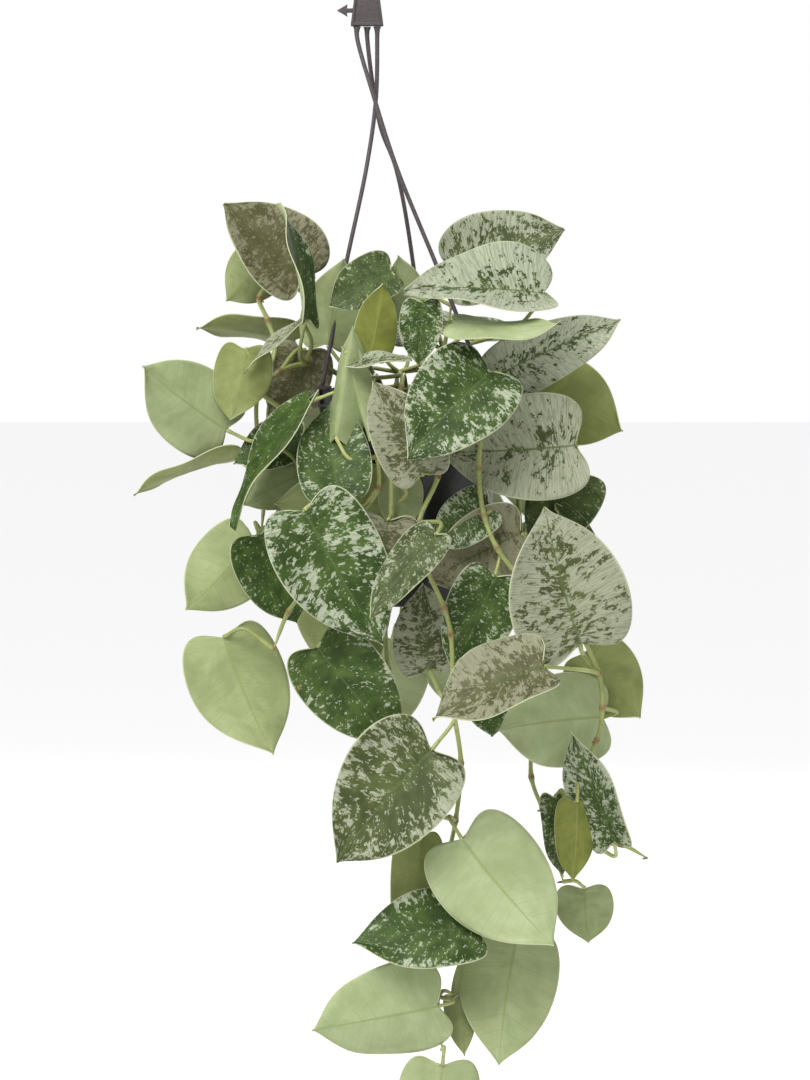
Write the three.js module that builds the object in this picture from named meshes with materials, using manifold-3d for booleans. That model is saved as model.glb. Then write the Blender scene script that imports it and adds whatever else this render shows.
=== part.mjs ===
// A satin pothos (Scindapsus pictus) in a hanging plastic pot.
// Units are millimetres and +Z is up. The origin is the bearing point inside the top of
// the hook, where the pot hangs from its rail. The front of the plant looks along -Y.

import * as THREE from 'three';
import { mergeVertices } from 'three/addons/utils/BufferGeometryUtils.js';
import Module from 'manifold-3d';

const wasm = await Module();
wasm.setup();

// Driving dimensions
const POT_TOP_RADIUS = 75;
const POT_BASE_RADIUS = 56;
const POT_HEIGHT = 170;
const POT_WALL = 2;
const POT_FLOOR = 2.5;
const RIM_BAND_HEIGHT = 12;
const RIM_BAND_DEPTH = 3;
const SOIL_DROP = 18;
const DRAIN_HOLES = 6;
const DRAIN_RADIUS = 5;
const DRAIN_CIRCLE = 38; // radius of the circle on which the holes lie
const GAP = 0.35;

const RIM_DROP = 360; // from the hook's bearing point down to the pot's rim
const POT_SWING = 35; // the vines' weight carries the pot to the right of the hook
const HEAD_TOP = -50;
const HEAD_BASE = -73;
const HOOK_INNER_RADIUS = 14;
const HOOK_ROD_RADIUS = 2.5;
const HOOK_SHANK_Z = -24; // where the hook's half circle meets its straight ends
const BLOCK_TOP_HALF = 10;
const BLOCK_BASE_HALF = 13;
const BLOCK_DEPTH = 12;
const PEG_Z = -61;
const PEG_HALF = 2;
const PEG_NECK = 16;
const PEG_TIP = 24;
const BARB_HALF = 5;
const PEG_DEPTH = 3;
const STRAND_RADIUS = 1.7;
const STRAND_ANGLES = { left: 201, right: 321, back: 81 };
const STRAND_DROP = 8; // straight length where a strand leaves the head
const CLIP_WALL = 2;
const CLIP_LENGTH = 8;
const CLIP_RISE = 3;
const CLIP_INNER_ROOM = 2.2; // the inner leg clears the wall, which slopes
const CLIP_OUTER_ROOM = 0.6;
const CLIP_INNER_LEG = 9;
const CLIP_OUTER_LEG = 14;

const STEM_RADIUS = 2.2;
const PETIOLE_RADIUS = 1.3;
const PETIOLE_SETBACK = 2.4; // from a petiole's end to its blade, along the blade
const PETIOLE_DROP = 1.5; // and below the blade
const PETIOLE_SWAY = 0.12; // its bend away from the tip, over the blade's length
const PETIOLE_SAG = 6;
const LEAF_THICKNESS = 1;
const LEAF_WIDTH = 0.8; // width of a blade over its length
const LEAF_ARCH = 0.07; // droop of the tip over the blade's length
const LEAF_FOLD = 0.12; // rise of each half blade over its half width
const LEAF_BOW = 0.07; // sideways sweep of the midrib over the blade's length
const STEM_SIDES = 5;
const STEM_STEPS = 2.5; // steps for each point of a stem's route

// Materials
const plastic = new THREE.MeshStandardMaterial({ color: 0x17151a, roughness: 0.35 });
const hangerPlastic = new THREE.MeshStandardMaterial({ color: 0x5a5050, roughness: 0.5 });
const peat = new THREE.MeshStandardMaterial({ color: 0x33261c, roughness: 1 });
const stemGreen = new THREE.MeshStandardMaterial({ color: 0x8f9a50, roughness: 0.55 });
const leafGreen = new THREE.MeshStandardMaterial({ color: 0x5d7248, roughness: 0.6 });

// Solids and meshes
function toSolid(geometry) {
  const bare = geometry.index ? geometry.toNonIndexed() : geometry.clone();
  bare.deleteAttribute('normal');
  bare.deleteAttribute('uv');
  const merged = mergeVertices(bare, 1e-4);
  const vertProperties = new Float32Array(merged.attributes.position.array);
  const triVerts = new Uint32Array(merged.index.array);
  return new wasm.Manifold(new wasm.Mesh({ numProp: 3, vertProperties, triVerts }));
}

function toGeometry(solid) {
  const mesh = solid.getMesh();
  const geometry = new THREE.BufferGeometry();
  geometry.setAttribute('position', new THREE.BufferAttribute(mesh.vertProperties, 3));
  geometry.setIndex(new THREE.BufferAttribute(mesh.triVerts, 1));
  geometry.computeVertexNormals();
  return geometry;
}

function named(name, geometry, material) {
  const mesh = new THREE.Mesh(geometry, material);
  mesh.name = name;
  return mesh;
}

// A rod of round section through a list of points
function rod(points, radius, sides, steps) {
  const section = new THREE.Shape();
  for (let i = 0; i < sides; i += 1) {
    const turn = (2 * Math.PI * i) / sides;
    const x = radius * Math.cos(turn);
    const y = radius * Math.sin(turn);
    if (i === 0) section.moveTo(x, y);
    else section.lineTo(x, y);
  }
  const path = new THREE.CatmullRomCurve3(points.map((p) => new THREE.Vector3(...p)));
  return new THREE.ExtrudeGeometry(section, { steps, bevelEnabled: false, extrudePath: path });
}

// The pot: a tapered shell with a rim band and drainage holes in its floor
function potRadius(z) {
  return POT_TOP_RADIUS + ((POT_BASE_RADIUS - POT_TOP_RADIUS) * -z) / POT_HEIGHT;
}

function pot() {
  const band = POT_TOP_RADIUS + RIM_BAND_DEPTH;
  const floor = -POT_HEIGHT + POT_FLOOR;
  const profile = [
    [0, -POT_HEIGHT],
    [POT_BASE_RADIUS, -POT_HEIGHT],
    [potRadius(-RIM_BAND_HEIGHT), -RIM_BAND_HEIGHT],
    [band - 1, -RIM_BAND_HEIGHT],
    [band, 0],
    [POT_TOP_RADIUS - POT_WALL, 0],
    [potRadius(floor) - POT_WALL, floor],
    [0, floor],
  ].map(([x, y]) => new THREE.Vector2(x, y));
  const shell = new THREE.LatheGeometry(profile, 48).rotateX(Math.PI / 2);
  let solid = toSolid(shell);
  for (let i = 0; i < DRAIN_HOLES; i += 1) {
    const turn = (2 * Math.PI * i) / DRAIN_HOLES;
    const x = DRAIN_CIRCLE * Math.cos(turn);
    const y = DRAIN_CIRCLE * Math.sin(turn);
    const hole = new THREE.CylinderGeometry(DRAIN_RADIUS, DRAIN_RADIUS, 4 * POT_FLOOR, 12);
    hole.rotateX(Math.PI / 2).translate(x, y, -POT_HEIGHT);
    solid = solid.subtract(toSolid(hole));
  }
  return named('pot', toGeometry(solid), plastic);
}

// The potting mix fills the pot to below its rim
function pottingMix() {
  const floor = -POT_HEIGHT + POT_FLOOR + GAP;
  const profile = [
    [0, floor],
    [potRadius(floor) - POT_WALL - 2 * GAP, floor],
    [potRadius(-SOIL_DROP) - POT_WALL - 2 * GAP, -SOIL_DROP],
    [0, -SOIL_DROP],
  ].map(([x, y]) => new THREE.Vector2(x, y));
  const fill = new THREE.LatheGeometry(profile, 32).rotateX(Math.PI / 2);
  return named('potting_mix', toGeometry(toSolid(fill)), peat);
}

// The hanger's head: hook, wedge block and barbed label peg, moulded as one
function hangerHead() {
  const reach = HOOK_INNER_RADIUS + HOOK_ROD_RADIUS;
  const hookLine = [[0, 0, HEAD_TOP - 4], [9, 0, HEAD_TOP + 12], [reach, 0, HOOK_SHANK_Z]];
  for (let i = 0; i <= 8; i += 1) {
    const turn = (Math.PI * i) / 8;
    const z = reach * Math.sin(turn) - HOOK_INNER_RADIUS;
    hookLine.push([reach * Math.cos(turn), 0, z]);
  }
  hookLine.push([-reach, 0, HOOK_SHANK_Z]);
  const wedge = new THREE.Shape();
  wedge.moveTo(-BLOCK_TOP_HALF, HEAD_TOP);
  wedge.lineTo(BLOCK_TOP_HALF, HEAD_TOP);
  wedge.lineTo(BLOCK_BASE_HALF, HEAD_BASE);
  wedge.lineTo(-BLOCK_BASE_HALF, HEAD_BASE);
  const block = new THREE.ExtrudeGeometry(wedge, { depth: BLOCK_DEPTH, bevelEnabled: false });
  block.rotateX(Math.PI / 2).translate(0, BLOCK_DEPTH / 2, 0);
  const barb = new THREE.Shape();
  const inside = -BLOCK_TOP_HALF + 2;
  barb.moveTo(inside, PEG_Z + PEG_HALF);
  barb.lineTo(-PEG_NECK, PEG_Z + PEG_HALF);
  barb.lineTo(-PEG_NECK, PEG_Z + BARB_HALF);
  barb.lineTo(-PEG_TIP, PEG_Z);
  barb.lineTo(-PEG_NECK, PEG_Z - BARB_HALF);
  barb.lineTo(-PEG_NECK, PEG_Z - PEG_HALF);
  barb.lineTo(inside, PEG_Z - PEG_HALF);
  const peg = new THREE.ExtrudeGeometry(barb, { depth: PEG_DEPTH, bevelEnabled: false });
  peg.rotateX(Math.PI / 2).translate(0, PEG_DEPTH / 2, 0);
  const head = toSolid(rod(hookLine, HOOK_ROD_RADIUS, 8, 28)).add(toSolid(block));
  return named('hanger_head', toGeometry(head.add(toSolid(peg))), hangerPlastic);
}

// A strand and the clip that straddles the pot's rim, in the plant's frame
function strand(side, root, waypoints) {
  const turn = (STRAND_ANGLES[side] * Math.PI) / 180;
  const out = [Math.cos(turn), Math.sin(turn)];
  const middle = POT_TOP_RADIUS - POT_WALL + (RIM_BAND_DEPTH + POT_WALL) / 2;
  const clip = new THREE.Shape();
  const half = (RIM_BAND_DEPTH + POT_WALL) / 2;
  const inner = -half - CLIP_INNER_ROOM;
  const outer = half + CLIP_OUTER_ROOM;
  clip.moveTo(inner - CLIP_WALL, -CLIP_INNER_LEG);
  clip.lineTo(inner, -CLIP_INNER_LEG);
  clip.lineTo(inner, GAP);
  clip.lineTo(outer, GAP);
  clip.lineTo(outer, -CLIP_OUTER_LEG);
  clip.lineTo(outer + CLIP_WALL, -CLIP_OUTER_LEG);
  clip.lineTo(outer + CLIP_WALL, CLIP_RISE);
  clip.lineTo(inner - CLIP_WALL, CLIP_RISE);
  const channel = new THREE.ExtrudeGeometry(clip, { depth: CLIP_LENGTH, bevelEnabled: false });
  channel.rotateX(Math.PI / 2).translate(middle, CLIP_LENGTH / 2, 0).rotateZ(turn);
  const end = [middle * out[0], middle * out[1], 2];
  const [x, y, z] = root;
  const route = [root, [x, y, z - STRAND_DROP], ...waypoints, end];
  const line = toSolid(rod(route, STRAND_RADIUS, 8, 20));
  return named(`hanger_strand_${side}`, toGeometry(line.add(toSolid(channel))), hangerPlastic);
}

// A leaf blade: heart shaped, drawn to a point, arched and a little folded.
// u runs from the notch where the petiole joins to the tip, and s from edge to edge.
// hand is the side to which the midrib sweeps, which alternates along a vine.
function bladePoint(u, s, width, fold, hand) {
  const lobe = 0.95 * u ** 0.6 * (1 - u) ** 4;
  const taper = 0.64 + 0.5 * u ** 6;
  const edge = 0.5 * width * Math.sin(Math.PI * u ** 0.7) ** taper;
  const midrib = u ** 1.6;
  const along = midrib + (u - lobe - midrib) * Math.abs(s);
  const across = edge * s;
  const rise = fold * Math.abs(across) - LEAF_ARCH * along * along;
  return [along, across + hand * LEAF_BOW * along * along, rise];
}

function blade(name, hand, base, tip, face, length, width = LEAF_WIDTH, fold = LEAF_FOLD) {
  const along = new THREE.Vector3(...tip).normalize();
  const up = new THREE.Vector3(...face);
  up.addScaledVector(along, -up.dot(along)).normalize();
  const across = new THREE.Vector3().crossVectors(up, along);
  const origin = new THREE.Vector3(...base);
  const rows = [0.03, 0.11, 0.27, 0.48, 0.68, 0.83, 0.95];
  const columns = [-1, -0.5, 0, 0.5, 1];
  const grid = [[0, 0], ...rows.flatMap((u) => columns.map((s) => [u, s])), [1, 0]];
  const positions = [];
  for (const depth of [0, LEAF_THICKNESS]) {
    for (const [u, s] of grid) {
      const [a, c, r] = bladePoint(u, s, width, fold, hand);
      const point = origin.clone().addScaledVector(along, a * length);
      point.addScaledVector(across, c * length).addScaledVector(up, r * length - depth);
      positions.push(point.x, point.y, point.z);
    }
  }
  const wide = columns.length;
  const last = grid.length - 1;
  const at = (row, column) => 1 + row * wide + column;
  const top = [];
  for (let c = 0; c < wide - 1; c += 1) {
    top.push([0, at(0, c), at(0, c + 1)]);
    top.push([last, at(rows.length - 1, c + 1), at(rows.length - 1, c)]);
    for (let r = 0; r < rows.length - 1; r += 1) {
      top.push([at(r, c), at(r + 1, c), at(r + 1, c + 1)]);
      top.push([at(r, c), at(r + 1, c + 1), at(r, c + 1)]);
    }
  }
  const left = rows.map((_, r) => at(r, 0));
  const right = rows.map((_, r) => at(r, wide - 1)).reverse();
  const rim = [0, ...left, last, ...right];
  const under = grid.length;
  const faces = [...top, ...top.map(([a, b, c]) => [a + under, c + under, b + under])];
  rim.forEach((a, i) => {
    const b = rim[(i + 1) % rim.length];
    faces.push([a, a + under, b + under], [a, b + under, b]);
  });
  const geometry = new THREE.BufferGeometry();
  geometry.setAttribute('position', new THREE.Float32BufferAttribute(positions, 3));
  geometry.setIndex(faces.flat());
  geometry.computeVertexNormals();
  return named(name, geometry, leafGreen);
}

// A vine: its stems and petioles grow as one piece, and each leaf is a node of its own.
// A leaf is [name, stem, node, petiole end, pointing, facing, length, width, fold].
function vine(name, stems, leaves) {
  const group = new THREE.Group();
  const solids = stems.map((route) => {
    const [x, y, z] = route[0];
    const line = [route[0], [x, y, z + 7], ...route.slice(1)];
    return toSolid(rod(line, STEM_RADIUS, STEM_SIDES, Math.round(line.length * STEM_STEPS)));
  });
  let hand = 1;
  for (const [leafName, stem, node, base, tip, ...shape] of leaves) {
    const start = stems[stem][node];
    const aim = new THREE.Vector3(...tip).normalize();
    const back = new THREE.Vector3(...shape[0]).normalize();
    const end = new THREE.Vector3(...base).addScaledVector(aim, -PETIOLE_SETBACK);
    end.addScaledVector(back, -PETIOLE_DROP);
    const middle = end.clone().lerp(new THREE.Vector3(...start), 0.45);
    middle.addScaledVector(aim, -PETIOLE_SWAY * shape[1]).addScaledVector(back, -PETIOLE_SAG);
    const line = [start, middle.toArray(), end.toArray()];
    solids.push(toSolid(rod(line, PETIOLE_RADIUS, STEM_SIDES, 4)));
    group.add(blade(leafName, hand, base, tip, ...shape));
    hand = -hand;
  }
  const whole = solids.reduce((joined, solid) => joined.add(solid));
  group.add(named(name, toGeometry(whole), stemGreen));
  return group;
}

const SOIL = -SOIL_DROP + 3 * GAP;

// The long vine over the front of the rim
const frontVine = vine('vine_front', [[
  [15, -30, SOIL], [20, -64, 12], [22, -86, 2], [20, -94, -35], [20, -98, -65],
  [6, -106, -100], [10, -112, -130], [25, -118, -165], [30, -118, -185],
  [32, -116, -240], [38, -116, -285], [34, -112, -330], [24, -100, -380],
  [18, -98, -430], [20, -98, -470], [24, -98, -512],
]], [
  ['leaf_front_1', 0, 5, [18, -138, -108], [-5, -2, -5], [-3, -8, 3], 80, 0.46],
  ['leaf_front_2', 0, 9, [14, -98, -214], [-1, 0, 7], [0, -8, 1], 66],
  ['leaf_front_3', 0, 9, [15, -130, -273], [-8, -1, -8], [-1, -8, 2], 112],
  ['leaf_front_4', 0, 11, [39, -130, -342], [6, -1, -8], [0, 8, -1], 106, 0.82],
  ['leaf_front_5', 0, 12, [50, -124, -412], [-10, -1, 0], [-1, -7, 4], 96, 0.68],
  ['leaf_front_6', 0, 13, [82, -94, -425], [-2, -1, -9], [0, 8, 1], 98],
  ['leaf_front_7', 0, 14, [20, -116, -474], [-9, 0, -2], [0, 8, 2], 98],
  ['leaf_front_8', 0, 15, [24, -104, -524], [-1, 0, -8], [0, 8, 0], 80],
]);

// The vine that swings out to the left below the rim
const leftVine = vine('vine_left', [[
  [-20, -30, SOIL], [-28, -62, 12], [-30, -84, 2], [-26, -95, -50], [-26, -100, -74],
  [-42, -104, -98], [-68, -104, -135], [-95, -92, -170], [-107, -84, -200],
]], [
  ['leaf_left_1', 0, 2, [-79, -80, -8], [-7, -2, -9], [-7, -3, 6], 115, 0.55],
  ['leaf_left_2', 0, 4, [-56, -120, -78], [-1, 3, 6], [0, -7, 3], 82, 0.7],
  ['leaf_left_3', 0, 5, [-81, -128, -90], [5, -1, -10], [0, -8, 1], 118, 0.7],
  ['leaf_left_4', 0, 8, [-146, -80, -192], [3, -1, -9], [-2, 8, 0], 98],
]);

// The short vine down the middle of the pot
const middleVine = vine('vine_middle', [[
  [-4, -30, SOIL], [-6, -62, 12], [-8, -84, 2], [-15, -96, -60], [-16, -98, -110],
  [-20, -97, -165], [-18, -96, -215], [-10, -96, -245], [0, -98, -262],
]], [
  ['leaf_middle_1', 0, 2, [8, -118, -62], [-3, 0, 7], [0, -8, 2], 80, 0.66],
  ['leaf_middle_2', 0, 4, [-18, -110, -99], [-1, -1, -8], [0, -8, 1], 72],
  ['leaf_middle_3', 0, 6, [-72, -112, -196], [6, -1, -8], [0, -8, 1], 98, 0.7],
  ['leaf_middle_4', 0, 3, [-16, -82, -88], [-9, 0, 1], [0, 8, 2], 90, 0.7, 0.04],
]);

// The vine that swings out to the right and ends in a furled new shoot
const rightVine = vine('vine_right', [[
  [40, -20, SOIL], [50, -52, 12], [57, -74, 2], [52, -90, -60], [56, -98, -95],
  [66, -104, -120], [95, -102, -155], [125, -98, -180], [145, -92, -218],
  [148, -92, -245], [144, -92, -270], [128, -90, -298], [120, -90, -322],
  [130, -90, -346], [142, -90, -352], [163, -92, -352], [183, -94, -362],
]], [
  ['leaf_right_1', 0, 6, [84, -88, -110], [-9, 0, -4], [0, -8, 0], 80],
  ['leaf_right_2', 0, 7, [129, -124, -192], [-3, -1, 9], [0, -8, 2], 108, 0.86],
  ['leaf_right_3', 0, 8, [99, -162, -205], [-9, -1, -3], [-1, -5, 6], 92],
  ['leaf_right_4', 0, 9, [149, -78, -254], [-8, -3, 0], [0, 8, -1], 92],
  ['leaf_right_5', 0, 14, [156, -108, -347], [-3, -1, 8], [-5, -6, 1], 92, 0.5],
  ['leaf_right_6', 0, 5, [64, -108, -142], [-3, 0, -8], [0, -8, 1], 80, 0.7],
  ['leaf_right_7', 0, 2, [60, -100, 15], [-6, -4, -5], [-1, -8, 3], 98],
  ['leaf_right_8', 0, 1, [66, -72, 12], [10, 1, 5], [-1, -6, -2], 108, 0.46],
]);

// The vine behind on the right
const outerVine = vine('vine_outer', [[
  [58, 12, SOIL], [68, 2, 12], [87, -2, 0], [84, -2, -60], [88, -8, -120],
  [94, -24, -180], [98, -36, -250], [95, -42, -306], [104, -46, -332],
  [114, -50, -366], [120, -52, -388],
]], [
  ['leaf_outer_1', 0, 2, [94, -14, 2], [8, -1, -3], [0, 8, 1], 82, 0.85],
  ['leaf_outer_2', 0, 3, [127, -75, -42], [-10, -1, -1], [0, -8, 2], 106],
  ['leaf_outer_3', 0, 3, [134, -40, -66], [-4, -1, -5], [1, -8, 1], 72],
]);

// The looping stem on the left, forked above the rim
const loopVine = vine('vine_loop', [
  [[-45, 8, SOIL], [-62, 2, 14], [-84, -10, 20], [-104, -24, 14], [-120, -32, -2],
    [-121, -38, -40], [-116, -42, -80], [-118, -42, -112]],
  [[-120, -32, -2], [-112, -18, 18], [-108, -8, 34], [-114, -2, 54], [-121, 0, 72],
    [-112, 0, 84], [-96, 0, 86]],
], [
  ['leaf_loop_1', 1, 6, [-88, 0, 88], [-5, -1, 6], [3, -7, 2], 84, 0.86],
  ['leaf_loop_2', 1, 2, [-95, 30, 38], [-8, -1, 2], [0, 4, 8], 78, 0.6],
  ['leaf_loop_3', 0, 5, [-146, -42, -31], [-6, -2, 4], [0, 8, -1], 85],
  ['leaf_loop_4', 0, 6, [-140, -28, -54], [-8, -1, -2], [0, 2, 8], 84, 0.6],
  ['leaf_loop_5', 0, 7, [-124, -52, -117], [-5, -2, -6], [0, 8, 0], 78],
  ['leaf_loop_6', 0, 7, [-118, -78, -112], [3, 0, -6], [0, -8, 0], 75],
  ['leaf_loop_7', 0, 2, [-82, -60, 56], [-1, 1, 8], [8, -2, 0], 92, 0.6],
]);

// The upright stems in the crown
const crownLeft = vine('vine_crown_left', [[
  [-20, 0, SOIL], [-34, -2, 20], [-44, -6, 50],
]], [
  ['leaf_crown_1', 0, 2, [-16, -56, 92], [-7, -2, -3], [1, -6, 4], 56],
  ['leaf_crown_2', 0, 1, [-32, -92, 28], [2, 0, 8], [0, 8, -1], 56, 0.6],
]);

const crownRight = vine('vine_crown_right', [[
  [20, 5, SOIL], [26, 6, 30], [32, 4, 66],
]], [
  ['leaf_crown_3', 0, 2, [34, 6, 92], [8, -2, 3], [0, -8, 4], 94],
  ['leaf_crown_4', 0, 1, [8, -97, 68], [0, -1, -8], [-1, -8, 1], 48, 0.7, 0.2],
  ['leaf_crown_5', 0, 1, [102, -76, 76], [-8, -1, 1], [0, -5, 7], 108],
  ['leaf_crown_6', 0, 1, [34, -98, 53], [8, -3, -1], [0, 4, -8], 84, 0.45],
]);

// The vine down the back
const backVine = vine('vine_back', [[
  [0, 40, SOIL], [-10, 62, 12], [-12, 86, 0], [-14, 92, -60], [-4, 94, -130],
  [-10, 92, -200],
]], [
  ['leaf_back_1', 0, 1, [-35, 62, 40], [-4, 6, 2], [0, -3, 8], 95],
  ['leaf_back_2', 0, 1, [40, 62, 40], [4, 6, 1], [1, -2, 8], 95],
  ['leaf_back_3', 0, 3, [-42, 102, -50], [-3, 2, -8], [-1, 8, 2], 100],
  ['leaf_back_4', 0, 4, [32, 108, -90], [2, 1, -8], [1, 8, 2], 105],
  ['leaf_back_5', 0, 5, [-16, 100, -212], [-1, 1, -8], [0, 8, 2], 90],
]);

// Assembly
const plant = new THREE.Group();
plant.position.set(POT_SWING, 0, -RIM_DROP);
plant.add(pot(), pottingMix());
plant.add(frontVine, leftVine, middleVine, rightVine, outerVine, loopVine);
plant.add(crownLeft, crownRight, backVine);

const rootHeight = RIM_DROP + HEAD_BASE - 2 * GAP;
plant.add(
  strand('right', [-POT_SWING - 8, -1, rootHeight], [
    [-30, -9, 232], [-12, -14, 176], [21, -24, 95],
  ]),
  strand('left', [-POT_SWING + 8, 0, rootHeight], [
    [-28, 0, 230], [-35, -6, 178], [-52, -16, 97],
  ]),
  strand('back', [-POT_SWING, 3, rootHeight], [
    [-25, 14, 210], [-12, 26, 175], [2, 46, 97],
  ]),
);

const hangingPothos = new THREE.Group();
hangingPothos.add(hangerHead(), plant);

export default hangingPothos;
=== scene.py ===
import math
import random

import bmesh
import bpy
from mathutils import Matrix, Vector, noise


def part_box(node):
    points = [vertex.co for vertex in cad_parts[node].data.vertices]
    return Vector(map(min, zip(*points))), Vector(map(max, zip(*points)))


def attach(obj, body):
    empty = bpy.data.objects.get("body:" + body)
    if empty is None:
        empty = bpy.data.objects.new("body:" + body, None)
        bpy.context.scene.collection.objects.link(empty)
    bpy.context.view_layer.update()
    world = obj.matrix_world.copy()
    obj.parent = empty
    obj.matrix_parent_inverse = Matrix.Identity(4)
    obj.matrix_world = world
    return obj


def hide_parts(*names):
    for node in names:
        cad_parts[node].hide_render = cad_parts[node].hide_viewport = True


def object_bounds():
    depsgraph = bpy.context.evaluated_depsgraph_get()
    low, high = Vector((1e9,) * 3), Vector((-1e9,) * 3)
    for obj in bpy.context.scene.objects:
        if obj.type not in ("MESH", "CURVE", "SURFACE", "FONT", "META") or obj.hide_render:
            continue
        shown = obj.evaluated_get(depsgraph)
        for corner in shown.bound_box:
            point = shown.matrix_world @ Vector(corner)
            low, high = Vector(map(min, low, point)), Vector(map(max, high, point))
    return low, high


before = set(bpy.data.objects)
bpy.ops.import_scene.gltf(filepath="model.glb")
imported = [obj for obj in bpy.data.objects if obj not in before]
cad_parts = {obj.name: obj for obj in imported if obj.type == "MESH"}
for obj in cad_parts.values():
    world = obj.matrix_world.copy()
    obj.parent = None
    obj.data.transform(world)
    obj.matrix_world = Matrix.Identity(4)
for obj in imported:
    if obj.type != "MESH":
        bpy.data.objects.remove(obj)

cad_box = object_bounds()

# ---------------------------------------------------------------------------------------
# The room: a pale floor below the hanging plant, a white surround and large soft lamps.
# The camera stands well back from the front of the plant, a little above its middle.

MM = 0.001
middle = (cad_box[0] + cad_box[1]) / 2

scene = bpy.context.scene
camera = bpy.data.objects.new("camera", bpy.data.cameras.new("camera"))
scene.collection.objects.link(camera)
scene.camera = camera
FILL = 0.40  # how much of the white surround lights the plant
VIEW_HEIGHT = 0.832
VIEW_DISTANCE = 2.6
VIEW_RISE = math.radians(4)
aim = Vector((0.030, -0.10, -0.474))
camera.location = aim + VIEW_DISTANCE * Vector((0, -math.cos(VIEW_RISE), math.sin(VIEW_RISE)))
camera.rotation_euler = (math.pi / 2 - VIEW_RISE, 0, 0)
camera.data.sensor_fit = "VERTICAL"
camera.data.sensor_height = 36
camera.data.lens = 36 * VIEW_DISTANCE / VIEW_HEIGHT
camera.data.clip_end = 60

world = bpy.data.worlds.new("white surround")
scene.world = world
world.use_nodes = True
background = world.node_tree.nodes["Background"]
background.inputs["Color"].default_value = (1, 1, 1, 1)
ray = world.node_tree.nodes.new("ShaderNodeLightPath")
strength = world.node_tree.nodes.new("ShaderNodeMath")
strength.operation = "MULTIPLY_ADD"
strength.inputs[1].default_value = 1 - FILL
strength.inputs[2].default_value = FILL
world.node_tree.links.new(ray.outputs["Is Camera Ray"], strength.inputs[0])
world.node_tree.links.new(strength.outputs[0], background.inputs["Strength"])
scene.view_settings.view_transform = "Standard"


def soft_lamp(name, place, width, watts):
    lamp = bpy.data.objects.new(name, bpy.data.lights.new(name, "AREA"))
    lamp.data.shape = "DISK"
    lamp.data.size = width
    lamp.data.energy = watts
    lamp.location = Vector(place)
    lamp.rotation_euler = (middle - lamp.location).to_track_quat("-Z", "Y").to_euler()
    scene.collection.objects.link(lamp)


soft_lamp("key lamp", (-0.9, -1.6, 1.3), 1.1, 22)
soft_lamp("back lamp", (0.6, 1.7, 0.9), 1.2, 20)
sky = bpy.data.objects.new("overhead light", bpy.data.lights.new("overhead light", "SUN"))
sky.data.energy = 2.3
sky.data.angle = math.radians(50)
sky.rotation_euler = (math.radians(38), 0, math.radians(-24))
scene.collection.objects.link(sky)

floor_mesh = bpy.data.meshes.new("floor")
floor_bm = bmesh.new()
bmesh.ops.create_grid(floor_bm, x_segments=2, y_segments=2, size=20)
floor_bm.to_mesh(floor_mesh)
floor = bpy.data.objects.new("floor", floor_mesh)
floor.location.z = cad_box[0].z - 0.12
scene.collection.objects.link(floor)
pale = bpy.data.materials.new("pale floor")
pale.use_nodes = True
pale.node_tree.nodes["Principled BSDF"].inputs["Base Color"].default_value = (0.98, 0.98, 0.98, 1)
pale.node_tree.nodes["Principled BSDF"].inputs["Roughness"].default_value = 0.9
floor_mesh.materials.append(pale)

# ---------------------------------------------------------------------------------------
# The hanger's head: one piece of moulded plastic. A round hook rises from a wedge block
# with a raised border, and a barbed peg on its left side takes the plant's label.


def nodes_of(name):
    """A new material with its node tree and shader."""
    material = bpy.data.materials.new(name)
    material.use_nodes = True
    return material, material.node_tree, material.node_tree.nodes["Principled BSDF"]


def add(tree, kind, settings=None, **feeds):
    """One node: settings are its properties, feeds its inputs (a value or a socket)."""
    node = tree.nodes.new("ShaderNode" + kind)
    for key, value in (settings or {}).items():
        setattr(node, key, value)
    for key, value in feeds.items():
        place = int(key[1:]) if key[0] == "i" and key[1:].isdigit() else key.replace("_", " ")
        socket = node.inputs[place]
        if isinstance(value, bpy.types.NodeSocket):
            tree.links.new(value, socket)
        else:
            socket.default_value = value
    return node


def sum_of(tree, operation, a, b=0.0, c=0.0):
    return add(tree, "Math", {"operation": operation}, i0=a, i1=b, i2=c).outputs[0]


def soft_step(tree, value, low, high):
    """0 below low, 1 above high."""
    step = add(tree, "MapRange", {"interpolation_type": "SMOOTHSTEP", "clamp": True},
               Value=value, From_Min=low, From_Max=high)
    return step.outputs[0]


def mix(tree, share, first, second):
    node = add(tree, "Mix", {"data_type": "RGBA"}, i0=share, i6=first, i7=second)
    return node.outputs[2]


def moulded_plastic(name, dark, light, gloss, grain):
    """Moulded plastic: faint flow streaks, dust in the grain and a slightly uneven gloss."""
    material, tree, shader = nodes_of(name)
    place = add(tree, "TexCoord").outputs["Object"]
    flow = add(tree, "TexNoise", Vector=place, Scale=38.0, Detail=4.0).outputs[0]
    dust = add(tree, "TexNoise", Vector=place, Scale=grain, Detail=6.0).outputs[0]
    share = sum_of(tree, "MULTIPLY", flow, soft_step(tree, dust, 0.35, 0.75))
    tree.links.new(mix(tree, share, dark, light), shader.inputs["Base Color"])
    rough = sum_of(tree, "MULTIPLY_ADD", flow, 0.22, gloss)
    tree.links.new(rough, shader.inputs["Roughness"])
    bump = add(tree, "Bump", Height=dust, Strength=0.12, Distance=0.0004)
    tree.links.new(bump.outputs[0], shader.inputs["Normal"])
    return material


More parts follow.
